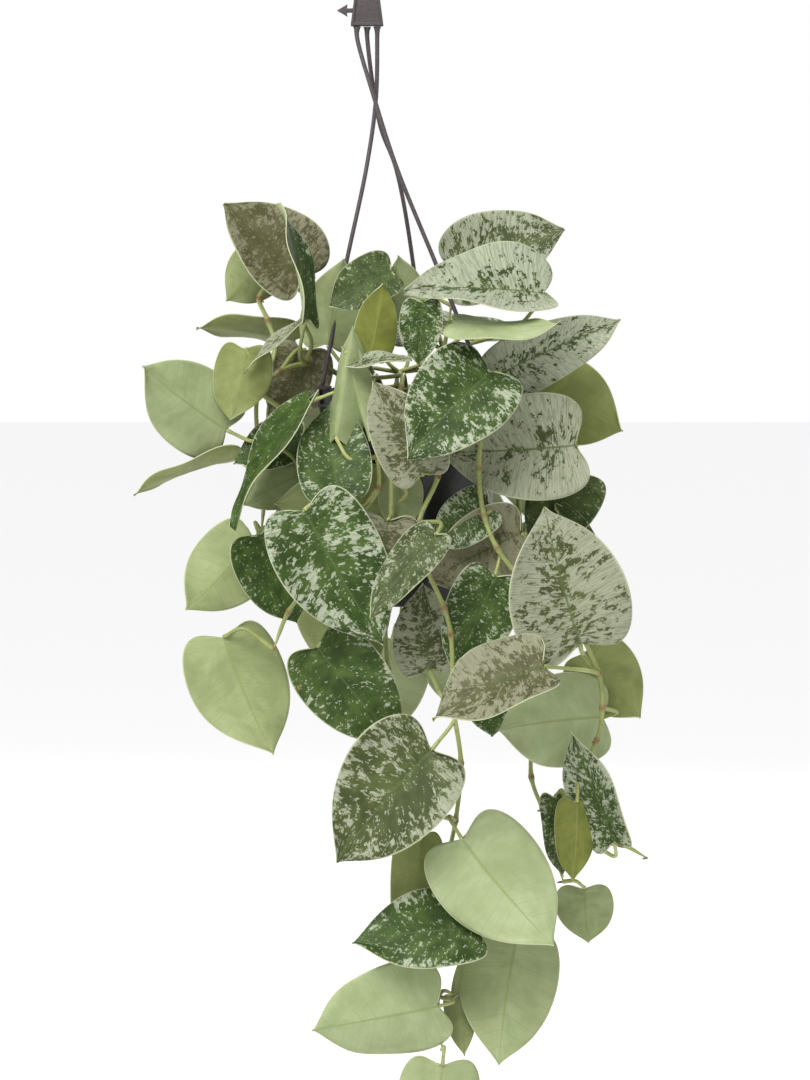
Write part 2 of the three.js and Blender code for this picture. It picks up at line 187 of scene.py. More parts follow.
def centre_line(points, steps):
    """A smooth line through the points, closer together where they are close."""
    points = [Vector(p) for p in points]
    points = [2 * points[0] - points[1]] + points + [2 * points[-1] - points[-2]]
    line = []
    for p0, p1, p2, p3 in zip(points, points[1:], points[2:], points[3:]):
        t1 = math.sqrt((p1 - p0).length)
        t2 = t1 + math.sqrt((p2 - p1).length)
        t3 = t2 + math.sqrt((p3 - p2).length)
        for k in range(steps):
            t = t1 + (t2 - t1) * k / steps
            a1 = p0.lerp(p1, t / t1)
            a2 = p1.lerp(p2, (t - t1) / (t2 - t1))
            a3 = p2.lerp(p3, (t - t2) / (t3 - t2))
            b1 = a1.lerp(a2, t / t2)
            b2 = a2.lerp(a3, (t - t1) / (t3 - t1))
            line.append(b1.lerp(b2, (t - t1) / (t2 - t1)))
    return line + [points[-2]]


def rod(bm, line, radius, sides=12):
    """A closed rod along the line. radius is a number or a list, one for each point."""
    radii = radius if isinstance(radius, list) else [radius] * len(line)
    ahead = (line[1] - line[0]).normalized()
    side = ahead.orthogonal().normalized()
    rings = []
    for i, point in enumerate(line):
        new = (line[min(i + 1, len(line) - 1)] - line[max(i - 1, 0)]).normalized()
        side = ahead.rotation_difference(new) @ side
        side = (side - side.dot(new) * new).normalized()
        ahead = new
        up = ahead.cross(side)
        ring = []
        for k in range(sides):
            turn = 2 * math.pi * k / sides
            ring.append(bm.verts.new(
                point + radii[i] * (math.cos(turn) * side + math.sin(turn) * up)))
        rings.append(ring)
    for a, b in zip(rings, rings[1:]):
        for k in range(sides):
            bm.faces.new((a[k], a[(k + 1) % sides], b[(k + 1) % sides], b[k]))
    bm.faces.new(list(reversed(rings[0])))
    bm.faces.new(rings[-1])


def slab(bm, outline, low, high):
    """An outline in X and Z, carried from y = low to y = high."""
    front = [bm.verts.new((x, low, z)) for x, z in outline]
    back = [bm.verts.new((x, high, z)) for x, z in outline]
    bm.faces.new(front)
    bm.faces.new(list(reversed(back)))
    for i in range(len(outline)):
        j = (i + 1) % len(outline)
        bm.faces.new((front[j], front[i], back[i], back[j]))


def piece(name, bm, material, slot, *nodes, smooth=True):
    """A finished mesh that rides on the plant's one body and stands for its CAD nodes."""
    bmesh.ops.recalc_face_normals(bm, faces=bm.faces)
    mesh = bpy.data.meshes.new(name)
    bm.to_mesh(mesh)
    bm.free()
    for face in mesh.polygons:
        face.use_smooth = smooth
    for each in material if isinstance(material, list) else [material]:
        mesh.materials.append(each)
    made = bpy.data.objects.new(name, mesh)
    scene.collection.objects.link(made)
    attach(made, "root")
    if nodes:
        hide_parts(*nodes)
    return made


def rounded_edges(made, width):
    bevel = made.modifiers.new("rounded edges", "BEVEL")
    bevel.width = width
    bevel.segments = 3
    bevel.limit_method = "ANGLE"
    bevel.angle_limit = math.radians(40)
    made.modifiers.new("even shading", "WEIGHTED_NORMAL")


HANGER_PLASTIC = moulded_plastic(
    "hanger plastic", (0.060, 0.048, 0.050, 1), (0.155, 0.130, 0.132, 1), 0.36, 700)

head_low, head_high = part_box("hanger_head")
HOOK_ROD = 2.5 * MM
HOOK_REACH = 16.5 * MM
HOOK_STRAIGHT = 10 * MM  # below the half circle, on either side
HOOK_ROOT = 4 * MM  # buried in the block
BLOCK_HEIGHT = 23 * MM
BLOCK_TOP_HALF = 10 * MM
BLOCK_BASE_HALF = 13 * MM
BLOCK_HALF_DEPTH = 4.6 * MM
BORDER_HALF_DEPTH = 6 * MM
FOOT_HALF_DEPTH = 5.6 * MM
FOOT_HEIGHT = 2.6 * MM
PEG_HEIGHT = 12 * MM
PEG_HALF = 1.7 * MM
PEG_HALF_DEPTH = 1.5 * MM
BARB_HALF = 5 * MM
hook_centre = head_high.z - HOOK_ROD - HOOK_REACH
block_base = head_low.z
block_top = block_base + BLOCK_HEIGHT
hook_points = [(0, 0, block_top - HOOK_ROOT), (9 * MM, 0, block_top + 12 * MM),
               (HOOK_REACH, 0, hook_centre - HOOK_STRAIGHT)]
for k in range(9):
    turn = math.pi * k / 8
    hook_points.append(
        (HOOK_REACH * math.cos(turn), 0, hook_centre + HOOK_REACH * math.sin(turn)))
hook_points.append((-HOOK_REACH, 0, hook_centre - HOOK_STRAIGHT))
hook_line = centre_line(hook_points, 8)
rounded_tip = [HOOK_ROD * share for share in (0.97, 0.88, 0.7, 0.35)]
hook_radii = [HOOK_ROD] * (len(hook_line) - len(rounded_tip)) + rounded_tip
hook = bmesh.new()
rod(hook, hook_line, hook_radii, 20)
piece("hanger_hook", hook, HANGER_PLASTIC, "hanger_plastic", "hanger_head")

block = bmesh.new()
slab(block, [(-BLOCK_TOP_HALF, block_top), (BLOCK_TOP_HALF, block_top),
             (BLOCK_BASE_HALF, block_base), (-BLOCK_BASE_HALF, block_base)],
     -BLOCK_HALF_DEPTH, BLOCK_HALF_DEPTH)
block_piece = piece("hanger_block", block, HANGER_PLASTIC, "hanger_plastic", smooth=False)
rounded_edges(block_piece, 0.8 * MM)

border = bmesh.new()
for side in (-1, 1):
    slab(border, [(side * 8.2 * MM, block_top), (side * BLOCK_TOP_HALF, block_top),
                  (side * BLOCK_BASE_HALF, block_base), (side * 10.6 * MM, block_base)],
         -BORDER_HALF_DEPTH, BORDER_HALF_DEPTH)
foot_top = block_base + FOOT_HEIGHT
slab(border, [(-12.6 * MM, foot_top), (12.6 * MM, foot_top),
              (BLOCK_BASE_HALF, block_base), (-BLOCK_BASE_HALF, block_base)],
     -FOOT_HALF_DEPTH, FOOT_HALF_DEPTH)
rounded_edges(piece("hanger_border", border, HANGER_PLASTIC, "hanger_plastic", smooth=False),
              0.5 * MM)

peg_z = block_base + PEG_HEIGHT
peg_upper = [(-9 * MM, PEG_HALF), (-16 * MM, PEG_HALF), (-15.4 * MM, BARB_HALF), (-24 * MM, 0)]
peg_lower = [(x, -z) for x, z in reversed(peg_upper[:-1])]
peg = bmesh.new()
slab(peg, [(x, peg_z + z) for x, z in peg_upper + peg_lower], -PEG_HALF_DEPTH, PEG_HALF_DEPTH)
rounded_edges(piece("label_peg", peg, HANGER_PLASTIC, "hanger_plastic", smooth=False),
              0.5 * MM)

# ---------------------------------------------------------------------------------------
# The three strands: thin moulded rods that flare where they leave the head. Each ends in
# a clip that straddles the pot's rim and snaps under its band.

pot_low, pot_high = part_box("pot")
rim_centre = Vector(((pot_low.x + pot_high.x) / 2, (pot_low.y + pot_high.y) / 2, pot_high.z))
STRAND = 1.7 * MM
STRAND_DROP = 8  # millimetres straight down from the head
STRAND_GAP = 0.7  # between the head and a strand
STRAND_END = 2  # above the rim, inside the top of the clip
RIM_MIDDLE = (pot_high.x - pot_low.x) / 2 - 2.5 * MM
CLIP_HALF_LENGTH = 4 * MM
CLIP_WALL = 2
CLIP_RISE = 3
CLIP_GAP = 0.35
CLIP_INSIDE = -4.7
CLIP_OUTSIDE = 3.1
INNER_LEG = 9
OUTER_LEG = 14
CLIP = [(CLIP_INSIDE - CLIP_WALL, -INNER_LEG), (CLIP_INSIDE, -INNER_LEG),
        (CLIP_INSIDE, CLIP_GAP), (CLIP_OUTSIDE, CLIP_GAP),
        (CLIP_OUTSIDE, -OUTER_LEG), (CLIP_OUTSIDE + CLIP_WALL, -OUTER_LEG),
        (CLIP_OUTSIDE + CLIP_WALL, CLIP_RISE), (CLIP_INSIDE - CLIP_WALL, CLIP_RISE)]
head_in_plant = (-rim_centre.x, -rim_centre.y, block_base - rim_centre.z)


def in_plant(point):
    """From the plant's own millimetres, counted from the rim's centre, to the frame."""
    return rim_centre + Vector(point) * MM


def strand(side, angle, root_x, root_y, waypoints):
    """A rod from the head to its clip, which sits at this angle round the rim."""
    turn = math.radians(angle)
    root = (head_in_plant[0] / MM + root_x, root_y, head_in_plant[2] / MM - STRAND_GAP)
    end = (RIM_MIDDLE / MM * math.cos(turn), RIM_MIDDLE / MM * math.sin(turn), STRAND_END)
    points = [root, (root[0], root[1], root[2] - STRAND_DROP), *waypoints, end]
    line = centre_line([in_plant(p) for p in points], 10)
    radii = [STRAND * (1 + 0.9 * math.exp(-k / 3.5)) for k in range(len(line))]
    bm = bmesh.new()
    rod(bm, line, radii, 14)
    name = "hanger_strand_" + side
    piece(name + "_rod", bm, HANGER_PLASTIC, "hanger_plastic", name)
    clip = bmesh.new()
    slab(clip, [(x * MM, z * MM) for x, z in CLIP], -CLIP_HALF_LENGTH, CLIP_HALF_LENGTH)
    place = Matrix.Translation(rim_centre) @ Matrix.Rotation(turn, 4, "Z")
    clip.transform(place @ Matrix.Translation((RIM_MIDDLE, 0, 0)))
    rounded_edges(piece(name + "_clip", clip, HANGER_PLASTIC, "hanger_plastic", smooth=False),
                  0.4 * MM)


strand("right", 321, -8, -1, [(-30, -9, 232), (-12, -14, 176), (21, -24, 95)])
strand("left", 201, 8, 0, [(-28, 0, 230), (-35, -6, 178), (-52, -16, 97)])
strand("back", 81, 0, 3, [(-25, 14, 210), (-12, 26, 175), (2, 46, 97)])

# ---------------------------------------------------------------------------------------
# The pot: a tapered shell of thin black plastic, injection moulded in one piece, with a
# band round its rim and drainage holes in its floor.

POT_PLASTIC = moulded_plastic(
    "pot plastic", (0.006, 0.005, 0.007, 1), (0.030, 0.025, 0.030, 1), 0.22, 420)
RIM = (pot_high.x - pot_low.x) / 2
POT_HEIGHT = pot_high.z - pot_low.z
BASE = 56 * MM
WALL = 2 * MM
BODY_TOP = RIM - 3 * MM
BAND = 12 * MM
FOOT_RING = 1.5 * MM
FLOOR_TOP = 3.5 * MM  # above the foot ring's lower face
HALFWAY = 90 * MM
SIDES = 128
DRAIN_HOLES = 6
DRAIN_CIRCLE = 38 * MM
DRAIN_RADIUS = 5 * MM
WELD = 0.02 * MM


def pot_radius(depth):
    """The radius of the tapered wall at this depth below the rim."""
    return BODY_TOP + (BASE - BODY_TOP) * depth / POT_HEIGHT


def join_rings(bm, rings):
    """Skin neighbouring rings of points. A ring may be a single point."""
    sides = max(len(ring) for ring in rings)
    for a, b in zip(rings, rings[1:]):
        for k in range(sides):
            j = (k + 1) % sides
            corners = [a[k % len(a)], a[j % len(a)], b[j % len(b)], b[k % len(b)]]
            bm.faces.new(list(dict.fromkeys(corners)))


profile = [(0.0, POT_HEIGHT - FOOT_RING), (BASE - 6 * MM, POT_HEIGHT - FOOT_RING),
           (BASE - 5 * MM, POT_HEIGHT), (BASE - 1.2 * MM, POT_HEIGHT),
           (BASE - 0.1 * MM, POT_HEIGHT - 1.2 * MM),
           (pot_radius(HALFWAY), HALFWAY), (pot_radius(16 * MM), 16 * MM),
           (pot_radius(BAND + 0.5 * MM), BAND + 0.5 * MM), (RIM - 1.2 * MM, BAND),
           (RIM - 0.9 * MM, 11.2 * MM), (RIM - 0.2 * MM, 1.6 * MM), (RIM - 0.5 * MM, 0.5 * MM),
           (RIM - 1.4 * MM, 0.0), (BODY_TOP - WALL + 0.6 * MM, 0.0),
           (BODY_TOP - WALL, 0.8 * MM), (pot_radius(HALFWAY) - WALL, HALFWAY),
           (pot_radius(167.5 * MM) - WALL, POT_HEIGHT - FLOOR_TOP),
           (0.0, POT_HEIGHT - FLOOR_TOP)]
shell = bmesh.new()
rings = []
for radius, depth in profile:
    place = rim_centre - Vector((0, 0, depth))
    if radius == 0:
        rings.append([shell.verts.new(place)])
        continue
    ring = []
    for k in range(SIDES):
        turn = 2 * math.pi * k / SIDES
        ring.append(shell.verts.new(
            place + radius * Vector((math.cos(turn), math.sin(turn), 0))))
    rings.append(ring)
join_rings(shell, rings)
pot_piece = piece("hanging_pot", shell, POT_PLASTIC, "pot_plastic", "pot")
drill = bmesh.new()
for k in range(DRAIN_HOLES):
    turn = 2 * math.pi * k / DRAIN_HOLES
    spot = rim_centre + Vector(
        (DRAIN_CIRCLE * math.cos(turn), DRAIN_CIRCLE * math.sin(turn), -POT_HEIGHT))
    bmesh.ops.create_cone(drill, cap_ends=True, segments=24, radius1=DRAIN_RADIUS,
                          radius2=DRAIN_RADIUS, depth=12 * MM, matrix=Matrix.Translation(spot))
drill_mesh = bpy.data.meshes.new("drainage drill")
drill.to_mesh(drill_mesh)
drill.free()
drill_object = bpy.data.objects.new("drainage_drill", drill_mesh)
scene.collection.objects.link(drill_object)
cut = pot_piece.modifiers.new("drainage holes", "BOOLEAN")
cut.object = drill_object
cut.operation = "DIFFERENCE"
cut.solver = "EXACT"
bpy.context.view_layer.update()
evaluated = pot_piece.evaluated_get(bpy.context.evaluated_depsgraph_get())
drilled = bpy.data.meshes.new_from_object(evaluated)
clean_cut = bmesh.new()
clean_cut.from_mesh(drilled)
bmesh.ops.remove_doubles(clean_cut, verts=clean_cut.verts, dist=WELD)
bmesh.ops.dissolve_degenerate(clean_cut, dist=WELD, edges=clean_cut.edges)
clean_cut.to_mesh(drilled)
clean_cut.free()
pot_piece.modifiers.clear()
pot_piece.data = drilled
bpy.data.objects.remove(drill_object)

# ---------------------------------------------------------------------------------------
# The potting mix: damp peat with bark crumbs and a few pale grains of perlite. It fills
# the pot to 18 mm below the rim and settles a little lower at the wall.

soil_low, soil_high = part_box("potting_mix")
peat, tree, shader = nodes_of("damp potting mix")
place = add(tree, "TexCoord").outputs["Object"]
crumbs = add(tree, "TexVoronoi", Vector=place, Scale=420.0).outputs["Distance"]
damp = add(tree, "TexNoise", Vector=place, Scale=60.0, Detail=6.0).outputs[0]
brown = mix(tree, damp, (0.012, 0.007, 0.004, 1), (0.070, 0.042, 0.024, 1))
grains = add(tree, "TexVoronoi", Vector=place, Scale=140.0)
perlite = sum_of(tree, "LESS_THAN", grains.outputs["Distance"], 0.16)
tree.links.new(mix(tree, perlite, brown, (0.62, 0.58, 0.50, 1)), shader.inputs["Base Color"])
shader.inputs["Roughness"].default_value = 0.95
crumb_bump = add(tree, "Bump", Height=crumbs, Strength=0.8, Distance=0.0015)
tree.links.new(crumb_bump.outputs[0], shader.inputs["Normal"])

soil = bmesh.new()
soil_radius = (soil_high.x - soil_low.x) / 2
SOIL_RINGS = 34
SOIL_SIDES = 96
SOIL_TAPER = 0.78
soil_rings = [[soil.verts.new(Vector((rim_centre.x, rim_centre.y, soil_high.z - 1.5 * MM)))]]
for i in range(1, SOIL_RINGS + 1):
    reach = soil_radius * i / SOIL_RINGS
    ring = []
    for k in range(SOIL_SIDES):
        turn = 2 * math.pi * k / SOIL_SIDES
        spot = Vector((rim_centre.x + reach * math.cos(turn),
                       rim_centre.y + reach * math.sin(turn), soil_high.z))
        crumble = noise.noise(spot * 160) * 1.4 + noise.noise(spot * 420) * 0.7
        spot.z += (crumble - 1.6 - 1.5 * (i / SOIL_RINGS) ** 6) * MM
        ring.append(soil.verts.new(spot))
    soil_rings.append(ring)
ring = []
for vert in soil_rings[-1]:
    spot = Vector(vert.co)
    spot.x = rim_centre.x + (spot.x - rim_centre.x) * SOIL_TAPER
    spot.y = rim_centre.y + (spot.y - rim_centre.y) * SOIL_TAPER
    spot.z = soil_low.z
    ring.append(soil.verts.new(spot))
soil_rings.append(ring)
soil_rings.append([soil.verts.new(Vector((rim_centre.x, rim_centre.y, soil_low.z)))])
join_rings(soil, soil_rings)
piece("soil", soil, peat, "potting_mix", "potting_mix")

# ---------------------------------------------------------------------------------------
# The long front vine, which shows how every vine here grows. The stem is round and green
# and thickens at each node, where a brown scar and a stub of aerial root are left. From a
# node a petiole carries one blade, velvety and silver-splashed above and pale below.

random.seed(8)

stem_skin, tree, shader = nodes_of("green stem")
place = add(tree, "TexCoord").outputs["Object"]
age = add(tree, "TexNoise", Vector=place, Scale=16.0, Detail=3.0).outputs[0]
flecks = add(tree, "TexNoise", Vector=place, Scale=420.0, Detail=3.0).outputs[0]
fresh = mix(tree, soft_step(tree, age, 0.35, 0.65), (0.43, 0.46, 0.165, 1), (0.26, 0.30, 0.095, 1))
scarred = add(tree, "Attribute", {"attribute_name": "scar"}).outputs["Fac"]
marked = mix(tree, sum_of(tree, "MULTIPLY", soft_step(tree, flecks, 0.56, 0.72), 0.45),
             fresh, (0.12, 0.10, 0.04, 1))
tree.links.new(mix(tree, scarred, marked, (0.23, 0.13, 0.06, 1)), shader.inputs["Base Color"])
shader.inputs["Roughness"].default_value = 0.42
shader.inputs["Subsurface Weight"].default_value = 0.08
shader.inputs["Subsurface Radius"].default_value = (0.3, 0.5, 0.1)
shader.inputs["Subsurface Scale"].default_value = 0.004
stem_bump = add(tree, "Bump", Height=flecks, Strength=0.15, Distance=0.0004)
tree.links.new(stem_bump.outputs[0], shader.inputs["Normal"])

SIDE_VEINS = 11


def blade_place(tree):
    """Where a point lies on its blade: along the side veins' roots, from edge to edge,
    and how far that is from the midrib."""
    where = add(tree, "SeparateXYZ", Vector=add(tree, "UVMap", {"uv_map": "leaf"}).outputs[0])
    across = where.outputs[1]
    from_middle = sum_of(tree, "ABSOLUTE", sum_of(tree, "MULTIPLY_ADD", across, 2.0, -1.0))
    return where.outputs[0], across, from_middle


def blade_look(tree):
    """How silvery this blade is, its tone, and a shift that gives it its own pattern."""
    look = add(tree, "SeparateColor", Color=add(
        tree, "Attribute", {"attribute_name": "look"}).outputs["Color"])
    return look.outputs[0], look.outputs[2], sum_of(tree, "MULTIPLY", look.outputs[1], 57.0)


def along_veins(tree, place, rate, length_rate, detail, offset):
    """Streaks that run from the midrib to the edge, as the side veins do."""
    along, across, shift = place
    spot = add(tree, "CombineXYZ", X=sum_of(tree, "MULTIPLY", along, rate),
               Y=sum_of(tree, "MULTIPLY", across, length_rate),
               Z=sum_of(tree, "ADD", shift, offset))
    return add(tree, "TexNoise", Vector=spot.outputs[0], Scale=1.0, Detail=detail,
               Roughness=0.62, Distortion=0.35).outputs[0]


def on_side_veins(tree, along, start):
    """1 on a side vein, fading to 0 beside it."""
    vein = sum_of(tree, "FRACT", sum_of(tree, "MULTIPLY", along, float(SIDE_VEINS)))
    offset = sum_of(tree, "ABSOLUTE", sum_of(tree, "SUBTRACT", vein, 0.5))
    return soft_step(tree, offset, start, 0.5)


# The upper face: velvety green, with silver flecks and splashes between the side veins.
leaf_top, tree, shader = nodes_of("leaf upper face")
along, across, from_middle = blade_place(tree)
silver, tone, shift = blade_look(tree)
place = (along, across, shift)
streaks = along_veins(tree, place, 26.0, 9.0, 3.0, 0.0)
clusters = along_veins(tree, place, 7.0, 4.0, 2.0, 11.0)
ragged = along_veins(tree, place, 95.0, 40.0, 3.0, 23.0)
lines = along_veins(tree, place, 130.0, 7.0, 2.0, 41.0)
level = sum_of(tree, "MULTIPLY_ADD", clusters, 0.46, sum_of(tree, "MULTIPLY", streaks, 0.80))
level = sum_of(tree, "MULTIPLY_ADD", ragged, 0.24, level)
level = sum_of(tree, "MULTIPLY_ADD", silver, 0.34, level)
level = sum_of(tree, "MULTIPLY_ADD", from_middle, 0.14, level)
flecks = along_veins(tree, place, 44.0, 17.0, 2.0, 61.0)
fleck_level = sum_of(tree, "MULTIPLY_ADD", silver, 0.13, flecks)
fleck_level = sum_of(tree, "MULTIPLY_ADD", from_middle, 0.05, fleck_level)
fleck_share = sum_of(tree, "MULTIPLY", soft_step(tree, fleck_level, 0.685, 0.72), 0.8)
splash = sum_of(tree, "MAXIMUM", soft_step(tree, level, 1.055, 1.10), fleck_share)
deep = mix(tree, tone, (0.026, 0.052, 0.009, 1), (0.088, 0.086, 0.036, 1))
lit = mix(tree, tone, (0.070, 0.118, 0.024, 1), (0.145, 0.140, 0.064, 1))
mottled = mix(tree, soft_step(tree, clusters, 0.30, 0.75), deep, lit)
bright = mix(tree, tone, (0.40, 0.44, 0.32, 1), (0.26, 0.25, 0.165, 1))
faded = mix(tree, 0.42, bright, mottled)
brushed = mix(tree, soft_step(tree, lines, 0.34, 0.58), faded, bright)
patterned = mix(tree, splash, mottled, brushed)
vein_share = sum_of(tree, "MULTIPLY_ADD", splash, 0.34, 0.12)
veined = mix(tree, sum_of(tree, "MULTIPLY", on_side_veins(tree, along, 0.46), vein_share),
             patterned, (0.075, 0.095, 0.040, 1))
# The midrib: its own dark green line, plus painted shade in its groove that grows darker on
# silvery blades.
midrib = soft_step(tree, from_middle, 0.034, 0.008)
rib_and_groove_shade_share = sum_of(tree, "MULTIPLY_ADD", silver, 0.35, 0.45)
ribbed = mix(tree, sum_of(tree, "MULTIPLY", midrib, rib_and_groove_shade_share), veined, (0.085, 0.125, 0.040, 1))
blemish = add(tree, "TexVoronoi", Vector=add(
    tree, "CombineXYZ", X=sum_of(tree, "MULTIPLY", along, 7.0),
    Y=sum_of(tree, "MULTIPLY", across, 6.0), Z=shift).outputs[0], Scale=1.0)
rare = sum_of(tree, "GREATER_THAN", add(
    tree, "SeparateColor", Color=blemish.outputs["Color"]).outputs[0], 0.976)
speck = sum_of(tree, "MULTIPLY", rare, soft_step(tree, blemish.outputs["Distance"], 0.14, 0.05))
specked = mix(tree, sum_of(tree, "MULTIPLY", speck, 0.8), ribbed, (0.36, 0.20, 0.085, 1))
margin = sum_of(tree, "MULTIPLY", soft_step(tree, from_middle, 0.970, 0.994), 0.75)
tree.links.new(mix(tree, margin, specked, (0.48, 0.52, 0.34, 1)), shader.inputs["Base Color"])
gloss = sum_of(tree, "MULTIPLY_ADD", splash, 0.12, 0.52)
tree.links.new(gloss, shader.inputs["Roughness"])
shader.inputs["Specular IOR Level"].default_value = 0.17
shader.inputs["Sheen Weight"].default_value = 0.02
shader.inputs["Sheen Roughness"].default_value = 0.4
quilt = sum_of(tree, "MULTIPLY_ADD", lines, 0.5, sum_of(tree, "MULTIPLY", splash, 0.5))
leaf_bump = add(tree, "Bump", Height=quilt, Strength=0.4, Distance=0.0006)
tree.links.new(leaf_bump.outputs[0], shader.inputs["Normal"])

# The under face: pale and matt, with a raised midrib and the net of side veins showing.
leaf_under, tree, shader = nodes_of("leaf under face")
along, across, from_middle = blade_place(tree)
_, tone, shift = blade_look(tree)
place = (along, across, shift)
cloud = along_veins(tree, place, 5.0, 3.0, 3.0, 5.0)
net = along_veins(tree, place, 120.0, 12.0, 2.0, 31.0)
pale_green = mix(tree, tone, (0.40, 0.47, 0.255, 1), (0.20, 0.225, 0.032, 1))
dull_green = mix(tree, tone, (0.29, 0.35, 0.165, 1), (0.12, 0.138, 0.022, 1))
body = mix(tree, soft_step(tree, cloud, 0.25, 0.80), pale_green, dull_green)
netted = mix(tree, sum_of(tree, "MULTIPLY", soft_step(tree, net, 0.45, 0.75), 0.38),
             body, dull_green)
veined = mix(tree, sum_of(tree, "MULTIPLY", on_side_veins(tree, along, 0.45), 0.55),
             netted, dull_green)
midrib = soft_step(tree, from_middle, 0.045, 0.012)
ribbed = mix(tree, sum_of(tree, "MULTIPLY", midrib, 0.55), veined, (0.23, 0.27, 0.085, 1))
margin = soft_step(tree, from_middle, 0.968, 0.992)
tree.links.new(mix(tree, margin, ribbed, (0.52, 0.55, 0.33, 1)), shader.inputs["Base Color"])
shader.inputs["Roughness"].default_value = 0.55
shader.inputs["Specular IOR Level"].default_value = 0.3
under_bump = add(tree, "Bump", Height=net, Strength=0.35, Distance=0.0005)
tree.links.new(under_bump.outputs[0], shader.inputs["Normal"])

LEAF_THICKNESS = 0.7 * MM
# The rest of a blade's relief, as shares of its length.
LEAF_ARCH = 0.07  # droop of the tip
LEAF_BOW = 0.07  # sideways sweep of the midrib
LEAF_LOBE = 0.95  # how far the two lobes reach back past the notch
LEAF_GROOVE = 0.007  # depth of the midrib's groove
LEAF_QUILT = 0.0050  # swell between the side veins
LEAF_WAVE = 0.030  # wave of the edge
LEAF_CUP = (0.15, 0.35)  # least cup, and how much more a blade may have
LEAF_TWIST = 0.16
ROWS = 54
COLUMNS = 28


def blade_point(u, s, width, fold, hand, ripple):
    """u runs from the notch to the tip and s from edge to edge, for a blade of length 1."""
    lobe = LEAF_LOBE * u ** 0.6 * (1 - u) ** 4
    taper = 0.64 + 0.5 * u ** 6
    edge = 0.5 * width * max(0.0, math.sin(math.pi * u ** 0.7)) ** taper
    midrib = u ** 1.6
    along = midrib + (u - lobe - midrib) * abs(s)
    across = edge * s
    rise = fold * (math.sqrt(across * across + 0.0004) - 0.02) - LEAF_ARCH * along * along
    rise -= LEAF_GROOVE * math.exp(-(across / 0.014) ** 2) * (1 - u)
    rise += LEAF_QUILT * math.cos(2 * math.pi * SIDE_VEINS * u) * abs(s) * (1 - abs(s))
    rise += LEAF_WAVE * abs(s) ** 3 * math.sin(2 * math.pi * (1.6 * u + ripple) + 1.5 * s)
    rise += (LEAF_CUP[0] + LEAF_CUP[1] * ripple) * across * across
    rise += LEAF_TWIST * (ripple - 0.5) * across * along
    rise -= 0.9 * max(0.0, along - 0.82) ** 2
    return along, across + hand * LEAF_BOW * along * along, rise


def blade(name, hand, base, tip, face, length, width, fold, silver, tone):
    """One blade: its upper face, thickened downwards into the under face."""
    along = Vector(tip).normalized()
    up = Vector(face)
    up = (up - up.dot(along) * along).normalized()
    side = up.cross(along)
    chance = random.random()
    bm = bmesh.new()
    uv = bm.loops.layers.uv.new("leaf")
    look = bm.verts.layers.float_color.new("look")

    def corner(u, s):
        a, c, r = blade_point(u, s, width, fold, hand, chance)
        vert = bm.verts.new(in_plant(base) + (a * along + c * side + r * up) * length * MM)
        vert[look] = (silver, chance, tone, 1)
        return vert, (u, s * 0.5 + 0.5)

    rows = [0.5 - 0.5 * math.cos(math.pi * k / ROWS) for k in range(1, ROWS)]
    cells = [2 * k / COLUMNS - 1 for k in range(COLUMNS + 1)]
    grid = [[corner(u, s) for s in cells] for u in rows]
    notch = corner(0.0001, 0)
    point = corner(1, 0)

    def skin(*corners):
        made = bm.faces.new([vert for vert, _ in corners])
        for loop, (_, spot) in zip(made.loops, corners):
            loop[uv].uv = spot

    for c in range(COLUMNS):
        skin(notch, grid[0][c], grid[0][c + 1])
        skin(point, grid[-1][c + 1], grid[-1][c])
        for a, b in zip(grid, grid[1:]):
            skin(a[c], b[c], b[c + 1], a[c + 1])
    mesh = bpy.data.meshes.new(name)
    bm.to_mesh(mesh)
    bm.free()
    for polygon in mesh.polygons:
        polygon.use_smooth = True
    mesh.materials.append(leaf_top)
    mesh.materials.append(leaf_under)
    made = bpy.data.objects.new(name, mesh)
    scene.collection.objects.link(made)
    flesh = made.modifiers.new("flesh", "SOLIDIFY")
    flesh.thickness = LEAF_THICKNESS
    flesh.offset = -1
    flesh.material_offset = 1
    flesh.material_offset_rim = 1
    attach(made, "root")
    if "leaf_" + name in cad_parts:
        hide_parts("leaf_" + name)


def petiole_line(start, base, tip, face, length):
    """From a node to just behind the blade's notch, sagging away from the tip."""
    aim = Vector(tip).normalized()
    back = Vector(face).normalized()
    end = Vector(base) - 1.2 * aim - 0.9 * back
    half = end.lerp(Vector(start), 0.45) - 0.12 * length * aim - 6 * back
    return [in_plant(p) for p in (start, half, end)]


STEM = 2.05 * MM
STEM_TAPER = 0.22
NODE_SWELL = 0.45
NODE_REACH = 3.2 * MM
SCAR_PLACE = 2.6 * MM  # a scar rings the stem this far from its node
SCAR_REACH = 1.1 * MM
STUB = ((0, 1.1), (2, 1.0), (3.8, 0.8), (5.2, 0.35))  # a root stub's lengths and radii
PETIOLE = 1.85
PETIOLE_TAPER = 0.5


